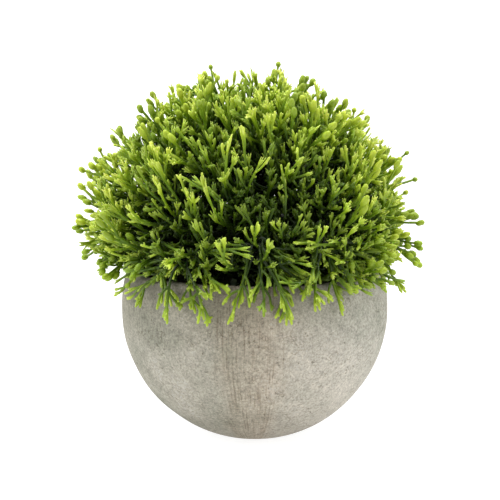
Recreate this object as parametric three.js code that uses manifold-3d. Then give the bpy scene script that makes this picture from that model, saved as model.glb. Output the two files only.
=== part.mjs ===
// Artificial tabletop shrub: a dome of moulded plastic sprays in a round pulp pot.
// Millimetres, +Z up, origin at the centre of the pot's flat base.
//
// How it is built: a foam block drops into the pot. A stake stands in the foam and
// carries a collar. Branch stems are pushed into sockets round the collar, each one
// forks, and one spray is pushed onto the end of every fork. Foam, stake, collar, stems
// and sprays lift out of the pot together.

import * as THREE from "three";
import { mergeVertices } from "three/addons/utils/BufferGeometryUtils.js";
import Module from "manifold-3d";

const DEG = Math.PI / 180;
const GOLDEN_ANGLE = 180 * (3 - Math.sqrt(5)) * DEG;
const FIT_GAP = 0.3; // clearance between a piece and the piece that it is pushed into

// ---------------------------------------------------------------- driving dimensions

const POT = {
  radius: 50, // outside of the bowl, a sphere
  baseRadius: 14.7, // flat that it stands on
  wall: 4,
  floor: 5, // thickness under the foam
  rimTop: 63,
  turns: 36, // facets round the axis
};
const FOAM = {
  radius: 41.5, // passes the mouth of the pot
  top: 50,
  bowlGap: 1, // between its rounded underside and the bowl
  chamfer: 1.5,
};
const STAKE = { radius: 2.5, tip: 14, point: 8, top: 60 };
const COLLAR = { radius: 10, centre: 53, bottom: 50.5, socketDepth: 3 };

// The dome that the tips reach, an ellipsoid of revolution.
const DOME = { radius: 60, height: 57, centre: 80 };

// Every stem and twig follows one fountain of growth lines, from the collar to the dome.
// A line is named by the polar angle and azimuth of its end, seen from the dome's centre.
const FOUNTAIN = {
  leaveShare: 0.62, // a line leaves the collar at this share of its polar angle
  leaveReach: 34, // length of its first straight tendency
  arriveShare: 0.8, // it reaches the dome pointing at this share of the polar angle
  arriveReach: 24,
  droop: 0.5, // added to arriveShare on the lines that hang over the rim
  droopFrom: 75 * DEG,
  droopTo: 120 * DEG,
};

const SPRAYS = 43;
const LOWEST_SPRAY = 109 * DEG; // polar angle at which the sprays stop
const STEMS = 13; // sprays 13 apart in the golden-angle spiral lie nearly below each other
const LOWEST_TIP = 115 * DEG; // no twig hangs lower than this over the side of the pot
const STEM = {
  radius: 1.0,
  armRadius: 0.75,
  forkAt: 0.2, // share of the growth line
  armEnd: 0.47, // where an arm goes into its spray
  pushedIn: 4, // length of arm inside the spray
  level: 21, // place in the spiral where a stem's root and its sprays share one azimuth
};
const SPRAY = {
  sleeveRadius: 1.7,
  sleeveLength: 5.5,
  stemRadius: 0.8,
  stemEnd: 0.68, // share of the growth line
  cell: 10.3 * DEG, // angle between its middle twig and the outer ones
  outerTwigs: 5,
  twigStep: 0.13, // distance between twigs on the spray's stem, as a share of the stem
  budRadius: 1.0,
  budLength: 4,
  reach: [1.0, 0.96, 1.02, 0.94, 0.99], // where the outer twigs end on their growth lines
};

// ---------------------------------------------------------------- materials

function material(color, roughness) {
  return new THREE.MeshStandardMaterial({ color, roughness, metalness: 0 });
}

const pulp = material(0xb4aca0, 0.95);
const foam = material(0x3a4630, 0.95);
const stemPlastic = material(0x3f5a22, 0.6);
const leafPlastic = material(0x86b82e, 0.45);

// ---------------------------------------------------------------- solids

const wasm = await Module();
wasm.setup();

function toSolid(geometry) {
  const bare = geometry.clone();
  bare.deleteAttribute("normal");
  bare.deleteAttribute("uv");
  const merged = mergeVertices(bare, 1e-4);
  return new wasm.Manifold(
    new wasm.Mesh({
      numProp: 3,
      vertProperties: new Float32Array(merged.attributes.position.array),
      triVerts: new Uint32Array(merged.index.array),
    }),
  );
}

function toGeometry(solid) {
  const { vertProperties, triVerts } = solid.getMesh();
  const geometry = new THREE.BufferGeometry();
  geometry.setAttribute("position", new THREE.BufferAttribute(vertProperties, 3));
  geometry.setIndex(new THREE.BufferAttribute(triVerts, 1));
  geometry.computeVertexNormals();
  return geometry;
}

function join(geometries) {
  return geometries.map(toSolid).reduce((whole, piece) => whole.add(piece));
}

function cut(solid, geometries) {
  return geometries.map(toSolid).reduce((left, tool) => left.subtract(tool), solid);
}

function mesh(name, geometry, look) {
  const made = new THREE.Mesh(geometry, look);
  made.name = name;
  return made;
}

// A profile of [radius, height] pairs, listed upwards on the outside, turned about Z.
function turned(profile, facets) {
  const points = profile.map(([r, z]) => new THREE.Vector2(r, z));
  return new THREE.LatheGeometry(points, facets).rotateX(Math.PI / 2);
}

// The same, but standing on point `from` with its axis along `direction`.
function turnedAlong(profile, facets, from, direction) {
  const turn = new THREE.Quaternion().setFromUnitVectors(
    new THREE.Vector3(0, 0, 1),
    direction.clone().normalize(),
  );
  return turned(profile, facets).applyQuaternion(turn).translate(from.x, from.y, from.z);
}

function rod(from, direction, length, radius, facets) {
  const profile = [
    [0, 0],
    [radius, 0],
    [radius, length],
    [0, length],
  ];
  return turnedAlong(profile, facets, from, direction);
}

function tube(curve, radius, sides, steps) {
  const corners = [];
  for (let i = 0; i < sides; i++) {
    const turn = (2 * Math.PI * i) / sides;
    corners.push(new THREE.Vector2(radius * Math.cos(turn), radius * Math.sin(turn)));
  }
  return new THREE.ExtrudeGeometry(new THREE.Shape(corners), {
    extrudePath: curve,
    steps,
    bevelEnabled: false,
  });
}

// Points [radius, height] on a circle in the profile plane, between two angles.
function arc(centreR, centreZ, radius, start, end, steps) {
  const points = [];
  for (let i = 0; i <= steps; i++) {
    const angle = start + ((end - start) * i) / steps;
    points.push([centreR + radius * Math.cos(angle), centreZ + radius * Math.sin(angle)]);
  }
  return points;
}

// ---------------------------------------------------------------- pot and foam

const bowlCentre = Math.sqrt(POT.radius ** 2 - POT.baseRadius ** 2);
const rimRound = POT.wall / 2;
const middleRadius = POT.radius - rimRound;
const rimAngle = Math.asin((POT.rimTop - rimRound - bowlCentre) / middleRadius);
const innerRadius = POT.radius - POT.wall;

function pot() {
  const baseAngle = -Math.acos(POT.baseRadius / POT.radius);
  const floorAngle = Math.asin((POT.floor - bowlCentre) / innerRadius);
  const rimR = middleRadius * Math.cos(rimAngle);
  const rimZ = bowlCentre + middleRadius * Math.sin(rimAngle);
  const profile = [
    [0, 0],
    ...arc(0, bowlCentre, POT.radius, baseAngle, rimAngle, 8),
    ...arc(rimR, rimZ, rimRound, rimAngle, rimAngle + Math.PI, 4).slice(1),
    ...arc(0, bowlCentre, innerRadius, rimAngle, floorAngle, 7).slice(1),
    [0, POT.floor],
  ];
  return mesh("pot", turned(profile, POT.turns), pulp);
}

function foamBlock() {
  const round = innerRadius - FOAM.bowlGap;
  const bottom = POT.floor + FIT_GAP;
  const startAngle = Math.asin((bottom - bowlCentre) / round);
  const endAngle = -Math.acos(FOAM.radius / round);
  const profile = [
    [0, bottom],
    ...arc(0, bowlCentre, round, startAngle, endAngle, 5),
    [FOAM.radius, FOAM.top - FOAM.chamfer],
    [FOAM.radius - FOAM.chamfer, FOAM.top],
    [0, FOAM.top],
  ];
  const hole = STAKE.tip - FIT_GAP * 2;
  const top = new THREE.Vector3(0, 0, hole);
  const up = new THREE.Vector3(0, 0, 1);
  const drill = rod(top, up, FOAM.top, STAKE.radius + FIT_GAP, 12);
  const block = cut(toSolid(turned(profile, POT.turns)), [drill]);
  return mesh("foam_block", toGeometry(block), foam);
}

// ---------------------------------------------------------------- growth lines

function smoothStep(from, to, value) {
  const t = THREE.MathUtils.clamp((value - from) / (to - from), 0, 1);
  return t * t * (3 - 2 * t);
}

// The growth line to a polar angle, as a curve in the [radius, height] half plane.
function growthLine(polar) {
  const leave = FOUNTAIN.leaveShare * polar;
  const droop = FOUNTAIN.droop * smoothStep(FOUNTAIN.droopFrom, FOUNTAIN.droopTo, polar);
  const arrive = (FOUNTAIN.arriveShare + droop) * polar;
  const away = new THREE.Vector2(Math.sin(leave), Math.cos(leave));
  const onto = new THREE.Vector2(Math.sin(arrive), Math.cos(arrive));
  const start = new THREE.Vector2(0, COLLAR.centre).addScaledVector(away, COLLAR.radius);
  const end = new THREE.Vector2(
    DOME.radius * Math.sin(polar),
    DOME.centre + DOME.height * Math.cos(polar),
  );
  return new THREE.CubicBezierCurve(
    start,
    start.clone().addScaledVector(away, FOUNTAIN.leaveReach),
    end.clone().addScaledVector(onto, -FOUNTAIN.arriveReach),
    end,
  );
}

function growthPoint({ polar, azimuth }, along) {
  const { x: r, y: z } = growthLine(polar).getPoint(along);
  return new THREE.Vector3(r * Math.cos(azimuth), r * Math.sin(azimuth), z);
}

function growthDirection(way, along) {
  const step = 0.01;
  return growthPoint(way, along + step).sub(growthPoint(way, along - step)).normalize();
}

// The way `angle` away from another, towards compass direction `turn` around it.
function beside({ polar, azimuth }, angle, turn) {
  const down = Math.cos(turn) * Math.sin(angle);
  const round = Math.sin(turn) * Math.sin(angle);
  const out = Math.sin(polar) * Math.cos(angle) + Math.cos(polar) * down;
  const up = Math.cos(polar) * Math.cos(angle) - Math.sin(polar) * down;
  return {
    polar: Math.min(Math.atan2(Math.hypot(out, round), up), LOWEST_TIP),
    azimuth: azimuth + Math.atan2(round, out),
  };
}

// Sprays sit on a golden-angle spiral that spreads them evenly over the dome.
function sprayWay(index) {
  const drop = ((index + 0.5) / SPRAYS) * (1 - Math.cos(LOWEST_SPRAY));
  return { polar: Math.acos(1 - drop), azimuth: index * GOLDEN_ANGLE };
}

// A stem's root stands at the azimuth that its spiral arm has at STEM.level.
function stemWay(index) {
  const armDrift = (STEMS * GOLDEN_ANGLE - 10 * Math.PI) / STEMS;
  const own = spraysOf(index).map((spray) => sprayWay(spray).polar);
  const middle = own.reduce((sum, polar) => sum + polar, 0) / own.length;
  return {
    polar: middle,
    azimuth: index * GOLDEN_ANGLE + armDrift * (STEM.level - index),
  };
}

function spraysOf(stem) {
  const own = [];
  for (let spray = stem; spray < SPRAYS; spray += STEMS) own.push(spray);
  return own;
}

// ---------------------------------------------------------------- stake, collar, stems

function stake() {
  const profile = [
    [0, STAKE.tip],
    [STAKE.radius, STAKE.tip + STAKE.point],
    [STAKE.radius, STAKE.top],
    [0, STAKE.top],
  ];
  return mesh("stake", turned(profile, 12), stemPlastic);
}

function collar() {
  const cutAngle = Math.asin((COLLAR.bottom - COLLAR.centre) / COLLAR.radius);
  const profile = [
    [0, COLLAR.bottom],
    ...arc(0, COLLAR.centre, COLLAR.radius, cutAngle, 90 * DEG, 5).slice(0, -1),
    [0, COLLAR.centre + COLLAR.radius],
  ];
  const up = new THREE.Vector3(0, 0, 1);
  const below = new THREE.Vector3(0, 0, COLLAR.bottom - 1);
  const depth = STAKE.top + FIT_GAP - below.z;
  const tools = [rod(below, up, depth, STAKE.radius + FIT_GAP, 12)];
  for (let i = 0; i < STEMS; i++) {
    const way = stemWay(i);
    const out = growthDirection(way, 0.01);
    const bottom = growthPoint(way, 0).addScaledVector(out, -COLLAR.socketDepth);
    const length = COLLAR.socketDepth + 2;
    tools.push(rod(bottom, out, length, STEM.radius + FIT_GAP, 5));
  }
  const knob = cut(toSolid(turned(profile, 20)), tools);
  return mesh("collar", toGeometry(knob), stemPlastic);
}

function branchStem(index) {
  const way = stemWay(index);
  const root = growthPoint(way, 0);
  const out = growthDirection(way, 0.01);
  root.addScaledVector(out, FIT_GAP - COLLAR.socketDepth);
  const fork = growthPoint(way, STEM.forkAt);
  const trunk = new THREE.QuadraticBezierCurve3(
    root,
    root.clone().addScaledVector(out, root.distanceTo(fork) / 2),
    fork.clone().addScaledVector(out, STEM.radius / 2),
  );
  const pieces = [tube(trunk, STEM.radius, 5, 2)];
  for (const spray of spraysOf(index)) {
    const onto = growthDirection(sprayWay(spray), STEM.armEnd);
    const mouth = growthPoint(sprayWay(spray), STEM.armEnd);
    const end = mouth.clone().addScaledVector(onto, STEM.pushedIn);
    const arm = new THREE.CurvePath();
    const bend = mouth.clone().addScaledVector(onto, -fork.distanceTo(mouth) / 2);
    arm.add(new THREE.QuadraticBezierCurve3(fork, bend, mouth));
    arm.add(new THREE.LineCurve3(mouth, end));
    pieces.push(tube(arm, STEM.armRadius, 4, 4));
  }
  const name = "branch_stem_" + String(index + 1).padStart(2, "0");
  return mesh(name, toGeometry(join(pieces)), stemPlastic);
}

// ---------------------------------------------------------------- sprays

// A twig starts thin, swells into a bud and ends in a point.
function twig(from, to) {
  const length = from.distanceTo(to);
  const profile = [
    [0, 0],
    [SPRAY.budRadius, length - SPRAY.budLength],
    [0, length],
  ];
  return turnedAlong(profile, 4, from, to.clone().sub(from));
}

function spray(index) {
  const way = sprayWay(index);
  const base = growthPoint(way, STEM.armEnd);
  const out = growthDirection(way, STEM.armEnd);
  const pieces = [rod(base, out, SPRAY.sleeveLength, SPRAY.sleeveRadius, 5)];

  const start = base.clone().addScaledVector(out, SPRAY.sleeveLength - 1);
  const end = growthPoint(way, SPRAY.stemEnd);
  const middle = start.clone().addScaledVector(out, start.distanceTo(end) / 2);
  const line = new THREE.QuadraticBezierCurve3(start, middle, end);
  pieces.push(tube(line, SPRAY.stemRadius, 5, 1));

  pieces.push(twig(line.getPoint(0.9), growthPoint(way, 1)));
  for (let i = 0; i < SPRAY.outerTwigs; i++) {
    const turn = ((i + (index % 2) / 2) * 2 * Math.PI) / SPRAY.outerTwigs;
    const tip = growthPoint(beside(way, SPRAY.cell, turn), SPRAY.reach[i]);
    pieces.push(twig(line.getPoint(0.9 - i * SPRAY.twigStep), tip));
  }
  const below = base.clone().addScaledVector(out, -1);
  const depth = STEM.pushedIn + FIT_GAP + 1;
  const hole = rod(below, out, depth, STEM.armRadius + FIT_GAP, 6);
  const made = cut(join(pieces), [hole]);
  const name = "spray_" + String(index + 1).padStart(2, "0");
  return mesh(name, toGeometry(made), leafPlastic);
}

// ---------------------------------------------------------------- assembly

const shrub = new THREE.Group();
shrub.add(pot());

const plant = new THREE.Group(); // everything that lifts out of the pot
plant.add(foamBlock(), stake(), collar());
for (let i = 0; i < STEMS; i++) plant.add(branchStem(i));
for (let i = 0; i < SPRAYS; i++) plant.add(spray(i));
shrub.add(plant);

export default shrub;
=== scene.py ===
import math

import bpy
import numpy as np
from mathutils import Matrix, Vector, noise


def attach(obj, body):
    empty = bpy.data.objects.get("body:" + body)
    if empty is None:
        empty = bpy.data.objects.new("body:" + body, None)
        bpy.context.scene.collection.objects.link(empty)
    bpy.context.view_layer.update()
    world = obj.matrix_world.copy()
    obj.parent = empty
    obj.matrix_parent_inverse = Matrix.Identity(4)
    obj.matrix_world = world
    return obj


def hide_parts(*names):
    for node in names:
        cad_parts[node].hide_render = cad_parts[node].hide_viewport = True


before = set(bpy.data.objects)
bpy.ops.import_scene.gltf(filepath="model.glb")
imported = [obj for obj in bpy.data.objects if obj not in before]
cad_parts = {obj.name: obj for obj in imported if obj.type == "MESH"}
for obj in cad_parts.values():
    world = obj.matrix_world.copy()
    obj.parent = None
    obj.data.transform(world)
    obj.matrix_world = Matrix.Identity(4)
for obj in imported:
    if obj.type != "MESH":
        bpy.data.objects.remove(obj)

# The looks of a small artificial shrub in a round pulp pot. Metres, +Z up, the front is -Y.
# Every stem and twig follows the fountain of growth lines that the CAD part is built on.
# On the dome, a way is a polar angle from +Z and an azimuth from +X (the front is -90
# degrees); elsewhere it is a direction. Random draws keep their order, or all twigs change.

MM = 0.001
DEG = math.pi / 180
GOLDEN_ANGLE = math.pi * (3 - math.sqrt(5))
WHITE = (1.0, 1.0, 1.0)
SEED = 7

# ------------------------------------------------------------------ pot and growth lines

# The pot is a hollow ball, cut off at its base and its rim.
POT_RADIUS = 50 * MM
POT_WALL = 4 * MM
POT_BASE = 14.7 * MM  # radius of the flat base
POT_FLOOR = 5 * MM  # height of the floor inside
POT_RIM_TOP = 63 * MM
BOWL_MIDDLE = np.array((0, 0, math.sqrt(POT_RADIUS**2 - POT_BASE**2)))
POT_SIDES = 300

WALL_GAP = 0.3 * MM  # that twigs keep from the pot's wall
RIM_ZONE = 6 * MM  # under the top of the rim; a twig caught there is lifted over it
MOST_SHIFTS = 12  # of a twig that would touch the wall, 1 mm each

# Growth lines leave the collar, which counts as a ball, and end on the dome, a flattened one.
COLLAR_RADIUS = 10 * MM
COLLAR_CENTRE = 53 * MM
DOME_RADIUS = 60 * MM
DOME_HEIGHT = 57 * MM  # from its centre to its top
DOME_CENTRE = 80 * MM
LEAVE_SHARE = 0.62  # of a line's polar angle: the way it leaves the collar
LEAVE_REACH = 34 * MM  # how strongly it keeps that way
ARRIVE_SHARE = 0.8  # the same where it ends
ARRIVE_REACH = 24 * MM
DROOP = 0.5  # added to ARRIVE_SHARE for the lowest lines, which hang
DROOP_FROM = 75 * DEG
DROOP_TO = 120 * DEG

# Each stem forks into arms, and each arm carries one spray. Shares are of a growth line.
SPRAYS = 43
LOWEST_SPRAY = 109 * DEG
LOWEST_TIP = 121 * DEG
STEMS = 13
STEM_LEVEL = 21  # a stem points where its row of sprays would be at this spray number
FORK_AT = 0.2
ARM_END = 0.47
PUSHED_IN = 4 * MM  # of an arm in its spray's sleeve
STEM_RADIUS = 1.0 * MM
ARM_RADIUS = 0.75 * MM
SOCKET_DEPTH = 2.7 * MM
SLEEVE_RADIUS = 1.7 * MM
SLEEVE_LENGTH = 5.5 * MM
SPRAY_STEM_END = 0.72
SPRAY_STEM_RADII = (0.9 * MM, 0.8 * MM)

STEM_VOXEL = 0.25 * MM
STEM_FACES = 3500
SLEEVE_FACES = 500

# ------------------------------------------------------------------ twigs

# Twig prototypes stand on +Z before they are bent along growth lines. Their ends are
# methods of Twig, and one that is listed more often grows more often.
TWIG_LENGTH = 25 * MM
TWIG_VOXEL = 0.13 * MM
END_ROOM = 5 * MM  # of TWIG_LENGTH, for the end of the middle stem
MIXED_ENDS = ("trumpet", "trumpet", "trumpet", "trumpet", "fan", "finger", "finger")
PLAIN_ENDS = ("finger", "trumpet")
TWIG_KINDS = {
    "bushy": dict(count=10, faces=2600, ends=MIXED_ENDS, shoots=8, lowest=0.35, angle=40),
    "open": dict(count=8, faces=1800, ends=MIXED_ENDS, shoots=4, lowest=0.4, angle=34),
    "strand": dict(count=6, faces=1200, ends=PLAIN_ENDS, shoots=2, lowest=0.6, angle=40),
    "bud": dict(count=6, faces=1500, ends=("bud",), shoots=3, lowest=0.65, angle=30),
    "inner": dict(count=4, faces=800, ends=PLAIN_ENDS, shoots=7, lowest=0.15, angle=48, spread=1.7),
    "hanging": dict(count=6, faces=1100, ends=("finger",), shoots=3, lowest=0.7, angle=50),
}

# Radii of a twig's parts, at their start and their end.
MIDDLE_STEM = (0.56 * MM, 0.46 * MM)
SIDE_SHOOT = (0.42 * MM, 0.40 * MM)
KNOB = (0.34 * MM, 0.28 * MM)
CROWN_STALK = (0.40 * MM, 0.44 * MM)
CROWN_RAY = (0.40 * MM, 0.34 * MM)
CROWN_TOOTH = (0.27 * MM, 0.17 * MM)
FINGER = (0.40 * MM, 0.48 * MM)
BUD_STALK = (0.44 * MM, 0.42 * MM)

TWIGS_PER_SPRAY = 11
INNER_TWIGS = 12  # per spray, short and under the others; painted dark, as shade
BUD_SHARE = 0.22  # of the twigs at the dome's sides and back; the front has almost none
BUD_TONE = 0.6  # buds are darker than the other twigs
SPREAD = 17 * DEG  # how far a spray's twigs lean away from its middle, into its neighbours
UPTURN = 2.0 * MM  # sag of a twig's middle, which turns its end upwards
FRONT_UPTURN = 5.0 * MM  # more of it on the front and the back
FRONT_SHADE = 0.09  # painted shade: how much deeper in the dome the low twigs of the front look than they are, so darker
SWAY = 1.9 * MM  # sideways bow of a twig's middle
LEAN = 2 * MM  # of the dome's top to the left; its widest part leans further

# Twigs that stand out of the dome or hang over the rim: kind, azimuth in degrees, the
# radius and height of the tip in millimetres, and in degrees how far the tip points down
# and how far it points round the pot.
STRAYS = (
    ("strand", -160, 56, 54, 15, -50),
    ("strand", -152, 55, 56, 20, -60),
    ("hanging", -144, 54, 54, 60, -40),
    ("hanging", -126, 53, 53, 70, 20),
    ("hanging", -122, 54, 50, 75, 15),
    ("hanging", -115, 53, 52, 70, 10),
    ("hanging", -110, 54, 50, 75, -10),
    ("hanging", -105, 53, 53, 60, 25),
    ("hanging", -99, 53, 51, 60, -30),
    ("hanging", -95, 53, 48, 70, 20),
    ("hanging", -91, 53, 53, 50, -40),
    ("hanging", -84, 53, 52, 75, 10),
    ("hanging", -80, 53, 50, 85, 0),
    ("hanging", -78, 54, 49, 85, 5),
    ("hanging", -76, 53, 51, 85, -5),
    ("hanging", -69, 53, 54, 70, -15),
    ("hanging", -65, 54, 53, 60, 20),
    ("open", -61, 54, 57, 30, 40),
    ("hanging", -54, 54, 53, 55, 20),
    ("open", -48, 55, 58, 15, 45),
    ("open", -40, 55, 59, 10, 50),
    ("open", -32, 56, 60, 10, 45),
    ("open", -25, 57, 61, 5, 30),
    ("hanging", -33, 56, 57, 45, 20),
    ("hanging", -18, 58, 55, 50, 0),
    ("bud", -4, 62, 65, 25, 0),
    ("bud", -7, 62, 71, 5, 0),
    ("bud", -12, 60, 67, 25, 10),
    ("bud", -160, 58, 60, 40, 0),
    ("bud", -168, 60, 62, 35, 0),
    ("bud", 174, 66, 67, 15, 0),
    ("bud", -172, 69, 79, -5, 0),
    ("bud", 178, 67, 88, -15, 0),
)
STRAY_START = 0.62  # share of the growth line where a stray leaves its spray
STRAY_DEPTH = (0.50, 0.90)  # how far out in the dome its two ends count as, for its painted shade
FRINGE_TWIGS = 76  # round the rim, lying on it or just above, higher over the pot's shoulders
FRINGE_GAP = (-102, -78)  # azimuths in degrees at the middle of the front, which has none
STRANDS = 40  # thin ones that run round the pot just above the rim

# ------------------------------------------------------------------ camera, light, floor

CAMERA_DISTANCE = 0.70
CAMERA_ELEVATION = 8.7 * DEG
VIEW_WIDTH = 187.1 * MM  # at the object
VIEW_CENTRE = (-1.8 * MM, 0, 68.9 * MM)

# Name, the direction it shines from, softness, strength.
SUNS = (
    ("top_light", (0.0, 0.1, 1.0), 50 * DEG, 4.4),
    ("right_light", (1.0, -0.35, 0.5), 40 * DEG, 1.1),
    ("left_light", (-1.0, -0.3, 0.5), 40 * DEG, 1.8),
)
FRONT_LIGHT = 0.15  # strength of the studio's white walls
BACK_LIGHT = 0.75

FLOOR_HALF_SIDE = 60.0
FLOOR_DROP = 0.1 * MM  # below the pot's base
FLOOR_GREY = (0.28, 0.28, 0.28)
FLOOR_GLOW = 0.86


def look_at(thing, target):
    way = Vector(target) - thing.location
    thing.rotation_euler = way.to_track_quat("-Z", "Y").to_euler()


def add_camera():
    data = bpy.data.cameras.new("camera")
    data.lens = data.sensor_width * CAMERA_DISTANCE / VIEW_WIDTH
    data.clip_start = 0.01
    camera = bpy.data.objects.new("camera", data)
    back = Vector((0, -math.cos(CAMERA_ELEVATION), math.sin(CAMERA_ELEVATION)))
    camera.location = Vector(VIEW_CENTRE) + back * CAMERA_DISTANCE
    look_at(camera, VIEW_CENTRE)
    bpy.context.scene.collection.objects.link(camera)
    bpy.context.scene.camera = camera


def add_sun(name, direction, softness, strength):
    data = bpy.data.lights.new(name, "SUN")
    data.energy = strength
    data.angle = softness
    light = bpy.data.objects.new(name, data)
    light.location = direction
    look_at(light, (0, 0, 0))
    bpy.context.scene.collection.objects.link(light)


def dim_in_front_world():
    """White light from behind, above and the sides; less from the front."""
    world = bpy.data.worlds.new("studio")
    world.use_nodes = True
    tree = world.node_tree
    place = tree.nodes.new("ShaderNodeTexCoord")
    split = tree.nodes.new("ShaderNodeSeparateXYZ")
    strength = tree.nodes.new("ShaderNodeMapRange")
    strength.inputs["From Min"].default_value = -0.9
    strength.inputs["From Max"].default_value = 0.3
    strength.inputs["To Min"].default_value = FRONT_LIGHT
    strength.inputs["To Max"].default_value = BACK_LIGHT
    tree.links.new(place.outputs["Generated"], split.inputs["Vector"])
    background = tree.nodes["Background"]
    tree.links.new(split.outputs["Y"], strength.inputs["Value"])
    tree.links.new(strength.outputs["Result"], background.inputs["Strength"])
    background.inputs["Color"].default_value = (*WHITE, 1)
    return world


def floor_material():
    white = bpy.data.materials.new("floor_white")
    white.use_nodes = True
    shader = white.node_tree.nodes["Principled BSDF"]
    shader.inputs["Base Color"].default_value = (*FLOOR_GREY, 1)
    shader.inputs["Roughness"].default_value = 0.9
    shader.inputs["Emission Color"].default_value = (*WHITE, 1)
    shader.inputs["Emission Strength"].default_value = FLOOR_GLOW
    return white


def add_studio():
    for sun in SUNS:
        add_sun(*sun)
    bpy.context.scene.world = dim_in_front_world()
    bpy.context.scene.view_settings.view_transform = "Standard"

    side = FLOOR_HALF_SIDE
    corners = [(-side, -side, 0), (side, -side, 0), (side, side, 0), (-side, side, 0)]
    data = bpy.data.meshes.new("floor")
    data.from_pydata(corners, [], [(0, 1, 2, 3)])
    floor = bpy.data.objects.new("floor", data)
    floor.location.z = -FLOOR_DROP
    bpy.context.scene.collection.objects.link(floor)
    floor.data.materials.append(floor_material())


# ------------------------------------------------------------------ node helpers


def grey(value):
    return (value, value, value)


class Nodes:
    """Short calls for building one material's node tree."""

    def __init__(self, name):
        self.material = bpy.data.materials.new(name)
        self.material.use_nodes = True
        self.tree = self.material.node_tree
        self.shader = self.tree.nodes["Principled BSDF"]

    def add(self, kind, **settings):
        node = self.tree.nodes.new(kind)
        for key, value in settings.items():
            setattr(node, key, value)
        return node

    def link(self, source, target):
        self.tree.links.new(source, target)

    def position(self):
        return self.add("ShaderNodeTexCoord").outputs["Object"]

    def noise(self, scale, detail=4, roughness=0.55, vector=None):
        node = self.add("ShaderNodeTexNoise")
        node.inputs["Scale"].default_value = scale
        node.inputs["Detail"].default_value = detail
        node.inputs["Roughness"].default_value = roughness
        self.link(vector or self.position(), node.inputs["Vector"])
        return node.outputs["Fac"]

    def ramp(self, factor, stops):
        node = self.add("ShaderNodeValToRGB")
        elements = node.color_ramp.elements
        while len(elements) < len(stops):
            elements.new(0.5)
        for element, (place, color) in zip(elements, stops):
            element.position = place
            element.color = (*color, 1)
        self.link(factor, node.inputs["Fac"])
        return node.outputs["Color"]

    def mix(self, factor, first, second, blend="MIX"):
        """Each of the three may be a socket or a constant."""
        node = self.add("ShaderNodeMix", data_type="RGBA", blend_type=blend)
        color_sockets = (node.inputs[0], node.inputs[6], node.inputs[7])
        for socket, value in zip(color_sockets, (factor, first, second)):
            if isinstance(value, bpy.types.NodeSocket):
                self.link(value, socket)
            elif socket.type == "VALUE":
                socket.default_value = value
            else:
                socket.default_value = (*value, 1)
        return node.outputs[2]

    def times(self, color, tint):
        return self.mix(1.0, color, tint, "MULTIPLY")

    def times_where(self, mask, color, tint):
        """The colour, tinted only where the mask is white."""
        return self.times(color, self.mix(mask, WHITE, tint))

    def math(self, operation, *values):
        node = self.add("ShaderNodeMath", operation=operation)
        for socket, value in zip(node.inputs, values):
            if isinstance(value, bpy.types.NodeSocket):
                self.link(value, socket)
            else:
                socket.default_value = value
        return node.outputs[0]

    def attribute(self, name):
        return self.add("ShaderNodeAttribute", attribute_name=name).outputs["Fac"]

    def bump(self, height, distance, strength=1.0, normal=None):
        node = self.add("ShaderNodeBump")
        node.inputs["Strength"].default_value = strength
        node.inputs["Distance"].default_value = distance
        self.link(height, node.inputs["Height"])
        if normal is not None:
            self.link(normal, node.inputs["Normal"])
        return node.outputs["Normal"]

    def finish(self, color, normal, roughness, specular=0.5):
        self.link(color, self.shader.inputs["Base Color"])
        self.link(normal, self.shader.inputs["Normal"])
        self.shader.inputs["Roughness"].default_value = roughness
        self.shader.inputs["Specular IOR Level"].default_value = specular
        return self.material


# ------------------------------------------------------------------ materials


def leaf_material():
    """Moulded green plastic: dark olive stems, lime tips; the near-black at the stems is
    painted shade.

    `tip`, `tone` and `depth` are mesh attributes: how close a point is to a tip, how light
    its twig is, and how far out in the dome it lies. Tone differs at random, and is kept low
    as painted shade on the inner, fringe and low front twigs. The depth ramp is painted
    shade, darker deeper in the dome, with a pale painted highlight at the outermost tips.
    """
    nodes = Nodes("leaf_plastic")
    # Partly the plastic's own two tones, partly painted shade: near black at the stems.
    body = nodes.ramp(nodes.attribute("tip"), [
        (0.0, (0.014, 0.030, 0.003)),
        (0.25, (0.045, 0.086, 0.004)),
        (0.50, (0.147, 0.243, 0.009)),
        (0.72, (0.280, 0.395, 0.021)),
        (0.88, (0.390, 0.510, 0.050)),
        (1.0, (0.490, 0.595, 0.130)),
    ])
    tone = nodes.ramp(nodes.attribute("tone"), [
        (0.0, (0.44, 0.54, 0.38)),
        (0.5, (0.98, 0.98, 0.80)),
        (1.0, (1.18, 1.12, 1.05)),
    ])
    # Painted shade deep in the dome, and a pale painted highlight at the outermost tips.
    painted_shade = nodes.ramp(nodes.attribute("depth"), [
        (0.50, (0.05, 0.07, 0.02)),
        (0.72, (0.21, 0.27, 0.09)),
        (0.90, (0.98, 1.0, 0.90)),
        (1.0, (1.24, 1.12, 1.38)),
    ])
    color = nodes.times(nodes.times(body, tone), painted_shade)
    nodes.shader.inputs["Subsurface Weight"].default_value = 0.15
    nodes.shader.inputs["Subsurface Radius"].default_value = (0.6, 1.0, 0.2)
    nodes.shader.inputs["Subsurface Scale"].default_value = 0.8 * MM
    grain = nodes.bump(nodes.noise(1800, 3), 0.05 * MM, 0.5)
    return nodes.finish(color, grain, roughness=0.40, specular=0.26)


def stem_material():
    nodes = Nodes("stem_plastic")
    color = nodes.ramp(nodes.noise(400, 3), [
        (0.3, (0.022, 0.040, 0.008)),
        (0.75, (0.050, 0.085, 0.016)),
    ])
    grain = nodes.bump(nodes.noise(2500, 3), 0.05 * MM, 0.5)
    return nodes.finish(color, grain, roughness=0.55)


def foam_material():
    nodes = Nodes("foam")
    cells = nodes.noise(900, 5, 0.7)
    color = nodes.ramp(cells, [(0.3, (0.012, 0.020, 0.010)), (0.7, (0.035, 0.052, 0.026))])
    return nodes.finish(color, nodes.bump(cells, 0.4 * MM), roughness=0.95)


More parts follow.
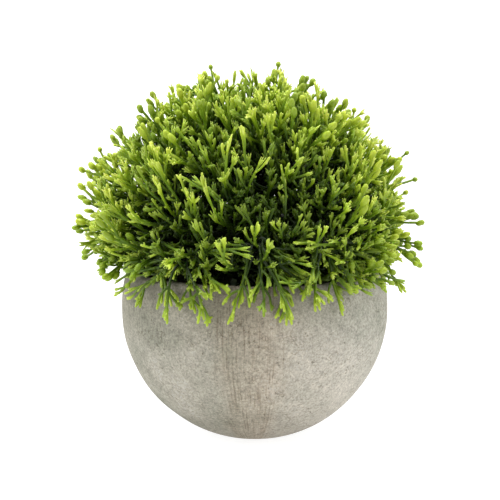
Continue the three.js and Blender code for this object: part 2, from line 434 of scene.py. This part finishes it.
def pulp_clouds_and_painted_light(nodes, across):
    """Soft clouds, with painted light: a little lighter and cooler on the right, darker on the left.
    """
    clouds = nodes.ramp(nodes.noise(28, 5, 0.65), [
        (0.34, (0.285, 0.283, 0.228)),
        (0.47, (0.368, 0.352, 0.293)),
        (0.62, (0.438, 0.410, 0.346)),
    ])
    # Painted light and shade: the studio light made to fall brighter on the right side.
    sides = nodes.ramp(across, [
        (0.1, (0.83, 0.84, 0.83)),
        (0.5, (1.0, 0.99, 0.97)),
        (0.9, (1.18, 1.18, 1.21)),
    ])
    return nodes.times(clouds, sides)


def pulp_painted_shade(nodes, color, across, z):
    """Painted shadow under the rim, where the foliage overhangs, and painted shade at the foot;
    hardly any on the right.
    """
    height = nodes.math("MULTIPLY", z, 1 / POT_RIM_TOP)
    # Painted shadow just under the rim and painted shade at the foot.
    painted_shadow = nodes.ramp(height, [
        (0.0, (0.76, 0.75, 0.74)),
        (0.30, WHITE),
        (0.58, WHITE),
        (0.82, (0.84, 0.83, 0.81)),
        (0.95, (0.68, 0.67, 0.64)),
    ])
    on_left = nodes.ramp(across, [(0.60, WHITE), (0.85, grey(0.2))])
    return nodes.times_where(on_left, color, painted_shadow)


def pulp_streaks(nodes, around, z):
    """Where the upright band is, in the middle of the front and the back, and its streaks."""
    from_middle = nodes.math("ABSOLUTE", nodes.math("ADD", around, 0.03))
    ragged = nodes.math("MULTIPLY_ADD", nodes.noise(60, 3), 0.4, from_middle)
    band = nodes.ramp(ragged, [(0.36, WHITE), (0.52, grey(0.0))])
    upright = nodes.add("ShaderNodeCombineXYZ")
    nodes.link(nodes.math("MULTIPLY", around, 58), upright.inputs["X"])
    nodes.link(nodes.math("MULTIPLY", z, 70), upright.inputs["Z"])
    streaks = nodes.ramp(nodes.noise(1.0, 3, 0.65, upright.outputs["Vector"]), [
        (0.38, (0.72, 0.68, 0.64)),
        (0.46, WHITE),
        (0.56, WHITE),
        (0.66, grey(1.18)),
    ])
    return band, streaks


def pulp_grained(nodes, color, grain):
    mottle = nodes.ramp(nodes.noise(300, 4, 0.7), [
        (0.32, grey(0.86)),
        (0.52, WHITE),
        (0.70, grey(1.09)),
    ])
    speckle = nodes.ramp(grain, [(0.32, grey(0.58)), (0.50, WHITE), (0.68, grey(1.36))])
    return nodes.times(nodes.times(color, mottle), speckle)


def pulp_flawed(nodes, color):
    """Thin veins here and there, dark pits and pale scuffs."""
    vein = nodes.ramp(nodes.noise(170, 3, 0.6), [
        (0.482, WHITE),
        (0.50, (0.62, 0.60, 0.56)),
        (0.518, WHITE),
    ])
    veined = nodes.ramp(nodes.noise(75, 2), [(0.52, grey(0.0)), (0.58, WHITE)])
    color = nodes.times_where(veined, color, vein)
    pits = nodes.ramp(nodes.noise(560, 4, 0.6), [(0.64, WHITE), (0.69, (0.56, 0.54, 0.51))])
    color = nodes.times(color, pits)
    scuffed = nodes.math("MULTIPLY", nodes.noise(800, 3, 0.7), nodes.noise(55, 2))
    scuffs = nodes.ramp(scuffed, [(0.34, grey(0.0)), (0.44, grey(0.5))])
    return nodes.mix(scuffs, color, (0.46, 0.45, 0.41))


def pulp_material():
    """Pressed grey pulp, with shallow relief."""
    nodes = Nodes("pot_pulp")
    place = nodes.add("ShaderNodeSeparateXYZ")
    nodes.link(nodes.position(), place.inputs["Vector"])
    x, y, z = (place.outputs[axis] for axis in "XYZ")
    across = nodes.math("MULTIPLY_ADD", x, 0.5 / POT_RADIUS, 0.5)
    around = nodes.math("ARCTAN2", x, nodes.math("ABSOLUTE", y))
    band, streaks = pulp_streaks(nodes, around, z)
    grain = nodes.noise(1100, 4, 0.8)

    # Soft clouds, with painted light on the right and painted shade on the left.
    color = pulp_clouds_and_painted_light(nodes, across)
    # Painted shadow under the rim and painted shade at the foot.
    color = pulp_painted_shade(nodes, color, across, z)
    color = nodes.times_where(band, color, (1.0, 0.955, 0.925))
    color = nodes.times_where(band, color, streaks)
    color = pulp_grained(nodes, color, grain)
    color = pulp_flawed(nodes, color)

    coarse = nodes.bump(nodes.noise(150, 4, 0.6), 0.5 * MM, 0.5)
    grooves = nodes.bump(nodes.mix(band, WHITE, streaks), 0.3 * MM, 0.5, coarse)
    fine = nodes.bump(grain, 0.3 * MM, 0.8, grooves)
    return nodes.finish(color, fine, roughness=0.95, specular=0.15)


# ------------------------------------------------------------------ growth lines


def smooth_step(start, end, value):
    t = min(max((value - start) / (end - start), 0), 1)
    return t * t * (3 - 2 * t)


def curve(start, out, near, end, t):
    """Points on a cubic curve, with `out` and `near` as its handles."""
    rest = 1 - t
    return (
        start * rest**3
        + out * (3 * rest**2 * t)
        + near * (3 * rest * t**2)
        + end * t**3
    )


def growth_points(polar, azimuth, along):
    """Points on the growth line that ends at this polar angle and azimuth of the dome."""
    along = np.atleast_1d(np.asarray(along, float))[:, None]
    leave = LEAVE_SHARE * polar
    arrive = (ARRIVE_SHARE + DROOP * smooth_step(DROOP_FROM, DROOP_TO, polar)) * polar
    away = np.array((math.sin(leave), math.cos(leave)))
    onto = np.array((math.sin(arrive), math.cos(arrive)))
    start = np.array((0, COLLAR_CENTRE)) + away * COLLAR_RADIUS
    end = np.array((
        DOME_RADIUS * math.sin(polar),
        DOME_CENTRE + DOME_HEIGHT * math.cos(polar),
    ))
    flat = curve(start, start + away * LEAVE_REACH, end - onto * ARRIVE_REACH, end, along)
    r, z = flat[:, 0], flat[:, 1]
    return np.column_stack((r * math.cos(azimuth), r * math.sin(azimuth), z))


def growth_direction(polar, azimuth, along):
    step = 0.01
    way = np.diff(growth_points(polar, azimuth, (along - step, along + step)), axis=0)[0]
    return way / np.linalg.norm(way)


def beside(polar, azimuth, angle, turn):
    """The way that lies `angle` away, towards compass direction `turn` around it."""
    down = math.cos(turn) * math.sin(angle)
    around = math.sin(turn) * math.sin(angle)
    out = math.sin(polar) * math.cos(angle) + math.cos(polar) * down
    up = math.cos(polar) * math.cos(angle) - math.sin(polar) * down
    new_polar = math.atan2(math.hypot(out, around), up)
    return min(new_polar, LOWEST_TIP), azimuth + math.atan2(around, out)


def turn_between(azimuth, other):
    """From one azimuth to the other the short way round."""
    return (other - azimuth + math.pi) % (2 * math.pi) - math.pi


def spray_way(index):
    drop = (index + 0.5) / SPRAYS * (1 - math.cos(LOWEST_SPRAY))
    return math.acos(1 - drop), index * GOLDEN_ANGLE


def stem_way(index):
    """Among the stem's own sprays. Thirteen golden angles are almost five full turns."""
    arm_drift = (STEMS * GOLDEN_ANGLE - 10 * math.pi) / STEMS
    own = [spray_way(i)[0] for i in range(index, SPRAYS, STEMS)]
    return sum(own) / len(own), index * GOLDEN_ANGLE + arm_drift * (STEM_LEVEL - index)


# ------------------------------------------------------------------ mesh making


def new_piece(name, points, faces, attributes=None):
    data = bpy.data.meshes.new(name)
    data.from_pydata(points, [], faces)
    data.validate()
    for key, values in (attributes or {}).items():
        layer = data.attributes.new(key, "FLOAT", "POINT")
        layer.data.foreach_set("value", np.asarray(values, np.float32))
    data.shade_smooth()
    piece = bpy.data.objects.new(name, data)
    bpy.context.scene.collection.objects.link(piece)
    return piece


def perpendicular(direction):
    other = np.array((0, 0, 1.0)) if abs(direction[2]) < 0.9 else np.array((1.0, 0, 0))
    side = np.cross(direction, other)
    side /= np.linalg.norm(side)
    return side, np.cross(direction, side)


def ring_faces(rings, sides, first=0):
    """The faces between neighbouring rings of points."""
    faces = []
    for ring in range(rings - 1):
        for i in range(sides):
            a = first + ring * sides + i
            b = first + ring * sides + (i + 1) % sides
            faces.append((a, b, b + sides, a + sides))
    return faces


def rounded_rod(start, end, start_radius, end_radius, sides=8):
    """A closed tapered rod with round ends, as points and faces."""
    way = end - start
    way = way / np.linalg.norm(way)
    side, up = perpendicular(way)
    rings = [
        (start - way * start_radius * 0.7, start_radius * 0.7),
        (start, start_radius),
        (end, end_radius),
        (end + way * end_radius * 0.7, end_radius * 0.7),
    ]
    turns = np.arange(sides) * 2 * math.pi / sides
    circle = np.cos(turns)[:, None] * side + np.sin(turns)[:, None] * up
    points = [centre + circle * radius for centre, radius in rings]
    points = np.vstack(points + [start - way * start_radius, end + way * end_radius])
    faces = ring_faces(len(rings), sides)
    last = (len(rings) - 1) * sides
    bottom, top = len(rings) * sides, len(rings) * sides + 1
    for i in range(sides):
        j = (i + 1) % sides
        faces.append((bottom, j, i))
        faces.append((top, last + i, last + j))
    return points, faces


def rods_along(line, start_radius, end_radius):
    """A rod from each point of a line to the next."""
    return [(a, b, start_radius, end_radius) for a, b in zip(line[:-1], line[1:])]


def merged(parts):
    """Joins (points, faces) pairs into one."""
    points, faces, count = [], [], 0
    for own_points, own_faces in parts:
        points.append(own_points)
        faces.extend(tuple(i + count for i in face) for face in own_faces)
        count += len(own_points)
    return np.vstack(points), faces


def organic(rods, voxel, face_count, smoothing=2):
    """Melts overlapping rods into one smooth closed skin, as points and triangles."""
    points, faces = merged([rounded_rod(*rod[:4]) for rod in rods])
    draft = new_piece("draft", points, faces)
    remesh = draft.modifiers.new("remesh", "REMESH")
    remesh.mode = "VOXEL"
    remesh.voxel_size = voxel
    smooth = draft.modifiers.new("smooth", "SMOOTH")
    smooth.factor = 0.5
    smooth.iterations = smoothing
    graph = bpy.context.evaluated_depsgraph_get()
    before = len(draft.evaluated_get(graph).data.polygons) * 2
    thin = draft.modifiers.new("thin", "DECIMATE")
    thin.ratio = min(1, face_count / before)
    thin.use_collapse_triangulate = True
    graph = bpy.context.evaluated_depsgraph_get()
    made = draft.evaluated_get(graph).to_mesh()
    skin_points = np.array([v.co for v in made.vertices])
    skin_faces = np.array([tuple(p.vertices) for p in made.polygons])
    draft.evaluated_get(graph).to_mesh_clear()
    bpy.data.objects.remove(draft)
    return skin_points, skin_faces


def bend(points, path, length, turn, girth):
    """Bends a shape that stands on +Z, `length` tall, along a path of points."""
    steps = len(path) - 1
    ways = np.gradient(path, axis=0)
    ways /= np.linalg.norm(ways, axis=1)[:, None]
    side, _ = perpendicular(ways[0])
    sides = []
    for way in ways:
        side = side - way * np.dot(side, way)
        side = side / np.linalg.norm(side)
        sides.append(side)
    sides = np.array(sides)
    ups = np.cross(ways, sides)
    place = np.clip(points[:, 2] / length, 0, 0.9999) * steps
    index = place.astype(int)
    share = (place - index)[:, None]
    over = points[:, 2] - np.clip(points[:, 2], 0, length)

    def between(values):
        return values[index] * (1 - share) + values[index + 1] * share

    x = (points[:, 0] * math.cos(turn) - points[:, 1] * math.sin(turn)) * girth
    y = (points[:, 0] * math.sin(turn) + points[:, 1] * math.cos(turn)) * girth
    return (
        between(path)
        + between(sides) * x[:, None]
        + between(ups) * y[:, None]
        + between(ways) * over[:, None]
    )


# ------------------------------------------------------------------ twig prototypes


def pick(rng, options):
    return options[rng.integers(len(options))]


class Twig:
    """Grows rods for one twig. Each rod also says how close to a tip its two ends are."""

    def __init__(self, rng):
        self.rng = rng
        self.rods = []

    def tilted(self, way, angle, turn):
        side, up = perpendicular(way)
        lean = side * math.cos(turn) + up * math.sin(turn)
        way = way + lean * math.tan(angle)
        return way / np.linalg.norm(way)

    def rod(self, start, end, radii, tips):
        self.rods.append((start, end, *radii, *tips))

    def shoot(self, start, way, length, radii, tips, lift=0.0, steps=3):
        """A gently curved shoot that turns towards +Z by `lift`; returns its end and way."""
        marks = np.linspace(0, 1, steps + 1)
        for marked in zip(marks[:-1], marks[1:]):
            end = start + way * (length / steps)
            self.rod(start, end, np.interp(marked, (0, 1), radii), np.interp(marked, (0, 1), tips))
            start = end
            way = way + np.array((0, 0, lift / steps)) + self.rng.normal(0, 0.05, 3)
            way = way / np.linalg.norm(way)
        return start, way

    def knob(self, start, way, tip):
        """A short blunt bump on the side of a shoot."""
        rng = self.rng
        out = self.tilted(way, rng.uniform(45, 65) * DEG, rng.uniform(0, 2 * math.pi))
        length = rng.uniform(0.7, 1.4) * MM
        self.rod(start, start + out * length, KNOB, (tip, min(tip + 0.3, 1)))

    def crown(self, start, way, length, mouth, flat, teeth):
        """A stem that flares into a ring of small teeth."""
        rng = self.rng
        neck, way = self.shoot(start, way, length * 0.5, CROWN_STALK, (0.5, 0.62), lift=0.1, steps=2)
        side, up = perpendicular(way)
        phase = rng.uniform(0, 2 * math.pi)
        wide = side * math.cos(phase) + up * math.sin(phase)
        narrow = np.cross(way, wide) * flat
        for i in range(teeth):
            turn = 2 * math.pi * (i + rng.uniform(-0.2, 0.2)) / teeth
            across = (wide * math.cos(turn) + narrow * math.sin(turn)) * mouth
            edge = neck + way * length * rng.uniform(0.05, 0.42) + across * rng.uniform(0.5, 0.7)
            tooth = edge + way * rng.uniform(0.6, 1.2) * MM + across * 0.4
            self.rod(neck, edge, CROWN_RAY, (0.6, 0.84))
            self.rod(edge, tooth, CROWN_TOOTH, (0.86, 1.0))

    def trumpet(self, start, way):
        length = self.rng.uniform(3.4, 5.6) * MM
        mouth = self.rng.uniform(0.8, 1.2) * MM
        flat = self.rng.uniform(0.5, 1)
        self.crown(start, way, length, mouth, flat, teeth=6)

    def fan(self, start, way):
        length = self.rng.uniform(4.5, 7) * MM
        mouth = self.rng.uniform(1.5, 2.3) * MM
        flat = self.rng.uniform(0.2, 0.5)
        self.crown(start, way, length, mouth, flat, teeth=9)

    def finger(self, start, way):
        """A blunt end, often with a second one beside it."""
        rng = self.rng
        for _ in range(rng.integers(1, 3)):
            finger = self.tilted(way, rng.uniform(4, 30) * DEG, rng.uniform(0, 2 * math.pi))
            length = rng.uniform(2.2, 4.6) * MM
            end, _ = self.shoot(start, finger, length, FINGER, (0.5, 0.92), lift=0.15, steps=2)
            self.knob(start + (end - start) * 0.6, finger, 0.7)

    def bud(self, start, way):
        """A round bud on a thin stalk."""
        rng = self.rng
        stalk = rng.uniform(1.5, 3.6) * MM
        girth = rng.uniform(1.0, 1.3) * MM
        neck, way = self.shoot(start, way, stalk, BUD_STALK, (0.5, 0.66), steps=2)
        middle = neck + way * 0.6 * MM
        self.rod(neck, middle, (0.48 * MM, girth), (0.66, 0.74))
        self.rod(middle, middle + way * 0.2 * MM, (girth, girth * 0.95), (0.74, 0.80))

    def end_in(self, ends, start, way):
        getattr(self, pick(self.rng, ends))(start, way)

    def grow_stem(self, steps=12):
        """A wavy middle stem with knobs; returns its knots, as places and ways."""
        rng = self.rng
        place = np.zeros(3)
        way = np.array((0, 0, 1.0))
        stretch = TWIG_LENGTH - END_ROOM
        taper = MIDDLE_STEM[0] - MIDDLE_STEM[1]
        knots = []
        for i in range(steps):
            share = np.array((i, i + 1)) / steps
            radii = MIDDLE_STEM[0] - taper * share
            tips = 0.05 + 0.5 * share
            place, way = self.shoot(place, way, stretch / steps, radii, tips, lift=0.3, steps=1)
            knots.append((place, way))
            if share[0] > 0.4 and rng.random() < 0.6:
                self.knob(place, way, tips[1])
        return knots

    def grow(self, ends, shoots, lowest, angle, spread=1.0):
        """A middle stem with side shoots from `lowest` up, each with its own end."""
        rng = self.rng
        knots = self.grow_stem()
        self.end_in(ends, *knots[-1])
        turn = rng.uniform(0, 2 * math.pi)
        for share in np.linspace(lowest, 0.92, shoots):
            knot, knot_way = knots[int(share * len(knots))]
            turn += GOLDEN_ANGLE + rng.normal(0, 0.25)
            side = self.tilted(knot_way, angle * rng.uniform(0.7, 1.5) * DEG, turn)
            length = rng.uniform(1.8, 4.6) * MM * (1.3 - 0.6 * share) * spread
            tips = (0.05 + 0.45 * share, 0.5)
            end, end_way = self.shoot(knot, side, length, SIDE_SHOOT, tips, lift=0.35)
            if rng.random() < 0.6:
                self.knob(end, end_way, 0.5)
            self.end_in(ends, end, end_way)
        return self

    def tip_values(self, points):
        """How close to a tip each point is, read from the nearest rod."""
        best = np.full(len(points), np.inf)
        values = np.zeros(len(points))
        for start, end, _, _, start_tip, end_tip in self.rods:
            way = end - start
            share = np.clip((points - start) @ way / (way @ way), 0, 1)
            gap = np.linalg.norm(points - start - share[:, None] * way, axis=1)
            closer = gap < best
            best[closer] = gap[closer]
            values[closer] = (start_tip + (end_tip - start_tip) * share)[closer]
        return values


def twig_prototypes(rng, count, faces, **shape):
    made = []
    for _ in range(count):
        twig = Twig(rng).grow(**shape)
        skin_points, skin_faces = organic(twig.rods, TWIG_VOXEL, faces, smoothing=1)
        made.append((skin_points, skin_faces, twig.tip_values(skin_points)))
    return made


# ------------------------------------------------------------------ foliage


def frontness(polar, azimuth):
    """1 where the dome faces the front, -1 where it faces the back, 0 at its sides and top."""
    return -math.sin(azimuth) * math.sin(polar)


def shortest_reach(polar, azimuth):
    """The dome of tips is even at the top and the sides, and ragged low on the front."""
    return 0.91 - 0.22 * smooth_step(0.45, 0.9, frontness(polar, azimuth))


def longest_reach(polar, azimuth):
    """Low twigs are shorter at the sides, where the pot's shoulders show."""
    low = smooth_step(94 * DEG, 112 * DEG, polar)
    side = 1 - frontness(polar, azimuth) ** 2
    return 0.99 + 0.04 * smooth_step(35 * DEG, 80 * DEG, polar) - 0.11 * low * side


def twig_path(spray, way, stem_share, reach, rng, steps=16):
    """From a place on the spray's own growth line onto another line, curving upwards."""
    swing = turn_between(spray[1], way[1])
    upturn = UPTURN * math.sin(way[0]) + FRONT_UPTURN * abs(frontness(*way))
    upturn *= 1 - smooth_step(95 * DEG, 115 * DEG, way[0])
    bow = rng.normal(0, SWAY, 3)
    lean = LEAN * (1 + 0.7 * smooth_step(50 * DEG, 90 * DEG, way[0]))
    points = []
    for share in np.linspace(0, 1, steps + 1):
        ease = share ** 0.75
        polar = spray[0] + (way[0] - spray[0]) * ease
        along = stem_share + (reach - stem_share) * share
        point = growth_points(polar, spray[1] + swing * ease, along)[0]
        point += bow * 4 * share * (1 - share)
        point[2] -= upturn * 4 * share * (1 - share)
        point[0] -= lean * smooth_step(0.5, 1.0, along)
        points.append(point)
    return np.array(points)


def in_wall(points):
    """Which points lie in the pot's wall, or almost touch it."""
    gap = np.linalg.norm(points - BOWL_MIDDLE, axis=1)
    inside = (gap > POT_RADIUS - POT_WALL - WALL_GAP) & (gap < POT_RADIUS + WALL_GAP)
    return inside & (points[:, 2] < POT_RIM_TOP + WALL_GAP)


def away_from_wall(point):
    """Up near the rim, and lower down to the nearer side of the wall."""
    if point[2] > POT_RIM_TOP - RIM_ZONE:
        return np.array((0, 0, 1.0))
    out = np.array((point[0], point[1], 0)) / math.hypot(point[0], point[1])
    outer = np.linalg.norm(point - BOWL_MIDDLE) > POT_RADIUS - POT_WALL / 2
    return out if outer else -out


class Foliage:
    """Collects the bent twigs of one spray and makes them one piece."""

    def __init__(self, points, faces):
        # The sleeve and spray stem lie deepest in the dome's painted shade.
        stem_look = (0.05, 0.4, ARM_END)
        self.parts = [(points, faces)]
        self.looks = [np.tile(stem_look, (len(points), 1))]

    def add(self, prototype, path, rng, tone, start, reach):
        """Adds a twig, bent along the path and moved off the pot's wall.

        `start` and `reach` are how far out in the dome its two ends count as, for its painted shade.
        """
        points, faces, tip = prototype
        turn, girth = rng.uniform(0, 2 * math.pi), rng.uniform(0.9, 1.1)
        bent = bend(points, path, TWIG_LENGTH, turn, girth)
        loose = np.clip(np.linspace(0, 3, len(path)), 0, 1)[:, None]
        for _ in range(MOST_SHIFTS):
            caught = bent[in_wall(bent)]
            if not len(caught):
                break
            path = path + away_from_wall(caught.mean(axis=0)) * MM * loose
            bent = bend(points, path, TWIG_LENGTH, turn, girth)
        self.parts.append((bent, faces))
        depth = start + (reach - start) * np.clip(points[:, 2] / TWIG_LENGTH, 0, 1)
        self.looks.append(np.column_stack((tip, np.full(len(points), tone), depth)))

    def piece(self, name):
        points, faces = merged(self.parts)
        looks = np.vstack(self.looks)
        return new_piece(name, points, faces, dict(zip(("tip", "tone", "depth"), looks.T)))


# ------------------------------------------------------------------ strays


def nearest_low_spray(azimuth):
    """The spray round the rim that stands nearest to an azimuth."""
    def off(index):
        return abs(turn_between(azimuth, spray_way(index)[1]))

    return min(range(SPRAYS - STEMS, SPRAYS), key=off)


def stray_path(spray, azimuth, radius, height, drop, turn, steps=16):
    """From a low spray's stem to a tip at a set place, which points down and sideways."""
    out = np.array((math.cos(azimuth), math.sin(azimuth), 0))
    around = np.array((-math.sin(azimuth), math.cos(azimuth), 0))
    tip = out * radius + np.array((0, 0, height))
    arriving = (out * math.cos(turn) + around * math.sin(turn)) * math.cos(drop)
    arriving[2] -= math.sin(drop)
    start = growth_points(*spray, STRAY_START)[0]
    leaving = start + growth_direction(*spray, STRAY_START) * 8 * MM
    near = tip - arriving * 13 * MM
    return curve(start, leaving, near, tip, np.linspace(0, 1, steps + 1)[:, None])


def around_rim(count, rng):
    """Azimuths in degrees, spaced evenly and then moved a little."""
    for i in range(count):
        yield (i + rng.uniform(-0.4, 0.4)) * 360 / count - 180


def rim_strays(rng):
    """The set strays, and many more all round the rim: kind and place as in STRAYS."""
    strays = list(STRAYS)
    for azimuth in around_rim(FRINGE_TWIGS, rng):
        if FRINGE_GAP[0] < azimuth < FRINGE_GAP[1]:
            continue
        front = abs(math.sin(azimuth * DEG))
        shoulder = abs(math.sin(2 * azimuth * DEG))
        height = rng.uniform(62, 66) - rng.uniform(0, 10) * front + 5 * shoulder
        radius = rng.uniform(47, 51) + rng.uniform(0, 5) * front
        swing = rng.uniform(-50, 50) + 45 * math.cos(azimuth * DEG)
        drop = rng.uniform(0, 45)
        strays.append(("open", azimuth, radius, height, drop, swing))
    for azimuth in around_rim(STRANDS, rng):
        side = rng.choice((-1, 1))
        height = rng.uniform(62, 78)
        radius = rng.uniform(48, 55)
        drop = rng.uniform(-15, 15)
        swing = side * rng.uniform(60, 85)
        strays.append(("strand", azimuth, radius, height, drop, swing))
    return strays


# ------------------------------------------------------------------ sprays and stems


def sleeve_and_stem(spray):
    """The sleeve at a spray's foot and the stem that its twigs grow from."""
    base = growth_points(*spray, ARM_END)[0]
    out = growth_direction(*spray, ARM_END)
    foot = base + out * MM
    head = base + out * (SLEEVE_LENGTH - MM)
    line = growth_points(*spray, np.linspace(ARM_END + 0.04, SPRAY_STEM_END, 5))
    rods = [(foot, head, SLEEVE_RADIUS * 0.95, SLEEVE_RADIUS * 0.9)]
    return organic(rods + rods_along(line, *SPRAY_STEM_RADII), STEM_VOXEL, SLEEVE_FACES)


def kind_and_reach(way, front, rng):
    """Full twigs and buds at the sides and the back, open twigs on the front."""
    if rng.random() < BUD_SHARE * (1 - front):
        return "bud", longest_reach(*way) + rng.uniform(0.0, 0.04)
    kind = pick(rng, ("open", "open", "strand") if rng.random() < front else ("bushy",))
    return kind, rng.uniform(shortest_reach(*way), longest_reach(*way))


def add_outer_twigs(foliage, index, twigs, rng):
    spray = spray_way(index)
    for i in range(TWIGS_PER_SPRAY):
        turn = index + i * GOLDEN_ANGLE + rng.uniform(-0.3, 0.3)
        lean = SPREAD * math.sqrt((i + rng.uniform(0, 0.9)) / TWIGS_PER_SPRAY)
        way = beside(*spray, lean, turn)
        start = rng.uniform(0.50, 0.60)
        front = smooth_step(0.4, 0.8, frontness(*way))
        bare = 0.14 + 0.36 * smooth_step(80 * DEG, 100 * DEG, way[0])
        if rng.random() < bare * front:
            continue
        kind, reach = kind_and_reach(way, front, rng)
        path = twig_path(spray, way, start, reach, rng)
        # Painted shade on the low twigs of the front, where the dome's own shadow falls: a lower
        # tone and a shift deeper into the depth ramp.
        low = front * (0.1 + 0.9 * smooth_step(68 * DEG, 94 * DEG, way[0]))
        tone = rng.uniform(0.1, 1.0 - 0.3 * low) * (BUD_TONE if kind == "bud" else 1)
        painted_shade = FRONT_SHADE * low
        foliage.add(pick(rng, twigs[kind]), path, rng, tone, start - painted_shade, reach - painted_shade)


def add_inner_twigs(foliage, index, twigs, rng):
    spray = spray_way(index)
    for i in range(INNER_TWIGS):
        turn = index + (i + rng.uniform(0, 1)) * 2 * math.pi / INNER_TWIGS
        way = beside(*spray, SPREAD * rng.uniform(0.2, 0.8), turn)
        start = rng.uniform(0.20, 0.48) + 0.1 * (1 - smooth_step(35 * DEG, 75 * DEG, way[0]))
        reach = start + rng.uniform(0.26, 0.34)
        path = twig_path(spray, way, start, reach, rng)
        prototype = pick(rng, twigs["inner"])
        # A low tone and a low depth: painted shade inside the dome.
        foliage.add(prototype, path, rng, rng.uniform(0.0, 0.3), start, reach)


def add_strays(foliage, index, twigs, strays, rng):
    """The strays that leave the dome nearest to this spray."""
    spray = spray_way(index)
    for kind, azimuth, radius, height, drop, swing in strays:
        leaves_at = azimuth - 0.35 * swing
        if nearest_low_spray(leaves_at * DEG) == index:
            tip = (azimuth * DEG, radius * MM, height * MM, drop * DEG, swing * DEG)
            path = stray_path(spray, *tip)
            prototype = pick(rng, twigs[kind])
            # A lower tone than the dome's tips, and STRAY_DEPTH: painted shade under the dome's
            # overhang.
            foliage.add(prototype, path, rng, rng.uniform(0.0, 0.8), *STRAY_DEPTH)


def add_spray(index, twigs, strays, look, rng):
    foliage = Foliage(*sleeve_and_stem(spray_way(index)))
    add_outer_twigs(foliage, index, twigs, rng)
    add_inner_twigs(foliage, index, twigs, rng)
    add_strays(foliage, index, twigs, strays, rng)
    name = f"spray_{index + 1:02d}"
    piece = foliage.piece(name + "_foliage")
    piece.data.materials.append(look)
    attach(piece, "plant")
    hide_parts(name)


def arm_line(fork, spray):
    """From a stem's fork, in a curve, straight into the sleeve of a spray."""
    onto = growth_direction(*spray, ARM_END)
    mouth = growth_points(*spray, ARM_END)[0]
    bend_at = mouth - onto * np.linalg.norm(mouth - fork) / 2
    t = np.linspace(0, 1, 9)[:, None]
    arm = fork * (1 - t) ** 2 + bend_at * 2 * t * (1 - t) + mouth * t**2
    return np.vstack((arm, mouth + onto * PUSHED_IN))


def add_stem(index, look):
    name = f"branch_stem_{index + 1:02d}"
    way = stem_way(index)
    out = growth_direction(*way, 0.01)
    root = growth_points(*way, 0)[0] - out * SOCKET_DEPTH
    trunk = np.vstack((root, growth_points(*way, np.linspace(0.02, FORK_AT, 4))))
    rods = rods_along(trunk, STEM_RADIUS, STEM_RADIUS)
    for i in range(index, SPRAYS, STEMS):
        rods += rods_along(arm_line(trunk[-1], spray_way(i)), ARM_RADIUS, ARM_RADIUS)
    points, faces = organic(rods, STEM_VOXEL, STEM_FACES)
    piece = new_piece(name + "_smooth", points, [tuple(f) for f in faces])
    piece.data.materials.append(look)
    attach(piece, "plant")
    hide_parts(name)


# ------------------------------------------------------------------ pot


def arc(centre_r, centre_z, radius, start, end, steps):
    angles = np.linspace(start, end, steps + 1)
    return np.column_stack((
        centre_r + radius * np.cos(angles),
        centre_z + radius * np.sin(angles),
    ))


def level(start_r, end_r, z, steps):
    return np.column_stack((np.linspace(start_r, end_r, steps + 1), np.full(steps + 1, z)))


def turned(profile, sides):
    """A closed skin turned about Z; the profile's first and last points lie on the axis."""
    turns = np.arange(sides) * 2 * math.pi / sides
    rings = profile[1:-1]
    points = [(0, 0, profile[0][1])]
    for r, z in rings:
        points += [(r * math.cos(t), r * math.sin(t), z) for t in turns]
    points.append((0, 0, profile[-1][1]))
    faces = [(0, 1 + (i + 1) % sides, 1 + i) for i in range(sides)]
    faces += ring_faces(len(rings), sides, first=1)
    last = 1 + (len(rings) - 1) * sides
    faces += [(len(points) - 1, last + i, last + (i + 1) % sides) for i in range(sides)]
    return np.array(points), faces


def dented(points):
    """Shallow dents and an uneven rim, as hand-pressed pulp has; the base stays flat."""
    moved = points.copy()
    for i, point in enumerate(points):
        place = Vector(point)
        swell = noise.noise(place * 32) + 0.5 * noise.noise(place * 75)
        share = smooth_step(2 * MM, 12 * MM, point[2])
        out = Vector((point[0], point[1], point[2] - POT_RADIUS)).normalized()
        offset = out * swell * 0.45 * MM * share
        at_rim = smooth_step(56 * MM, POT_RIM_TOP, point[2])
        offset.z += noise.noise(place * 60) * 0.4 * MM * at_rim
        moved[i] += offset
    return moved


def pot_profile():
    """From the middle of the base, up the outside, over the rim and down the inside."""
    bowl_z = BOWL_MIDDLE[2]
    rim_round = POT_WALL / 2
    inner = POT_RADIUS - POT_WALL
    rim_angle = math.asin((POT_RIM_TOP - rim_round - bowl_z) / (POT_RADIUS - rim_round))
    base_angle = -math.acos(POT_BASE / POT_RADIUS)
    floor_angle = math.asin((POT_FLOOR - bowl_z) / inner)
    rim_r = (POT_RADIUS - rim_round) * math.cos(rim_angle)
    rim_z = bowl_z + (POT_RADIUS - rim_round) * math.sin(rim_angle)
    return np.vstack((
        level(0, POT_BASE, 0, 9)[:-1],
        arc(0, bowl_z, POT_RADIUS, base_angle, rim_angle, 90),
        arc(rim_r, rim_z, rim_round, rim_angle, rim_angle + math.pi, 12)[1:],
        arc(0, bowl_z, inner, rim_angle, floor_angle, 40)[1:],
        level(inner * math.cos(floor_angle), 0, POT_FLOOR, 7)[1:],
    ))


def add_pot(look):
    points, faces = turned(pot_profile(), POT_SIDES)
    piece = new_piece("pot_pulp_bowl", dented(points), faces)
    piece.data.materials.append(look)
    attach(piece, "pot")
    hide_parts("pot")


# ------------------------------------------------------------------ making it all


def main():
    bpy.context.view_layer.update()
    add_camera()
    add_studio()
    leaf, stem, foam, pulp = leaf_material(), stem_material(), foam_material(), pulp_material()
    rng = np.random.default_rng(SEED)
    twigs = {kind: twig_prototypes(rng, **shape) for kind, shape in TWIG_KINDS.items()}
    strays = rim_strays(rng)
    for index in range(SPRAYS):
        add_spray(index, twigs, strays, leaf, rng)
    for index in range(STEMS):
        add_stem(index, stem)
    add_pot(pulp)
    for name, look in (("foam_block", foam), ("stake", stem), ("collar", stem)):
        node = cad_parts[name]
        node.data.materials.clear()
        node.data.materials.append(look)


main()
